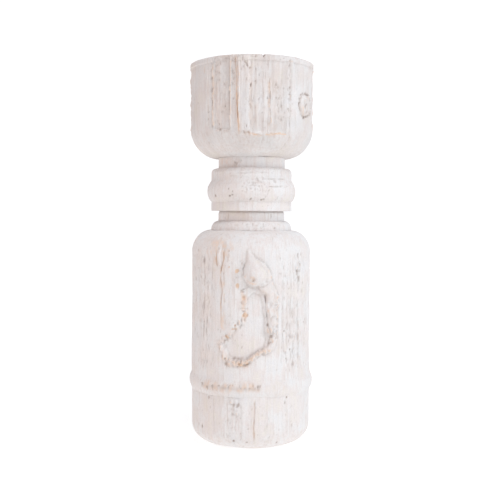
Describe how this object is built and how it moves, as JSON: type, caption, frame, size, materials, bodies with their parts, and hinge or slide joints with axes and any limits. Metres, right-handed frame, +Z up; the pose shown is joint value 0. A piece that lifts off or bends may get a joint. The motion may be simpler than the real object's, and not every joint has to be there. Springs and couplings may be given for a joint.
{
  "type": "wooden candlestick",
  "caption": "Turned wooden candlestick with a cup for a pillar candle, beaded neck collar, round-shouldered body with a raised scar, and a steel pan that lifts out.",
  "frame": {"origin": "on the axis, at the level that the felt pads stand on", "axes": "+Z up along the turned axis; -Y is the front, where the scar in the body faces the viewer"},
  "size_m": [0.1324, 0.1324, 0.4],
  "materials": {
    "whitewashed_wood": "matt whitewash over weathered wood",
    "bare_wood": "sawn, unfinished",
    "zinc_plated_steel": "bright zinc plate",
    "pan_steel": "pressed, satin",
    "felt": "wool felt"
  },
  "bodies": {
    "candlestick": {"foot": "whitewashed_wood", "body": "whitewashed_wood", "shoulder_ring": "whitewashed_wood", "neck_spindle": "whitewashed_wood", "collar": "whitewashed_wood", "cup": "whitewashed_wood", "base_plug": "bare_wood", "dowel_1": "bare_wood", "dowel_2": "bare_wood", "dowel_3": "bare_wood", "tie_rod": "zinc_plated_steel", "upper_washer": "zinc_plated_steel", "upper_nut": "zinc_plated_steel", "lower_washer": "zinc_plated_steel", "lower_nut": "zinc_plated_steel", "felt_pad_1": "felt", "felt_pad_2": "felt", "felt_pad_3": "felt", "felt_pad_4": "felt"},
    "pan_insert": {"candle_pan": "pan_steel", "pricket": "zinc_plated_steel", "pricket_washer": "zinc_plated_steel", "pricket_nut": "zinc_plated_steel"}
  },
  "joints": [
    {"name": "pan_lift", "type": "slide", "parent": "candlestick", "child": "pan_insert", "axis": [0, 0, 1], "range_m": [0, 0.04]}
  ]
}
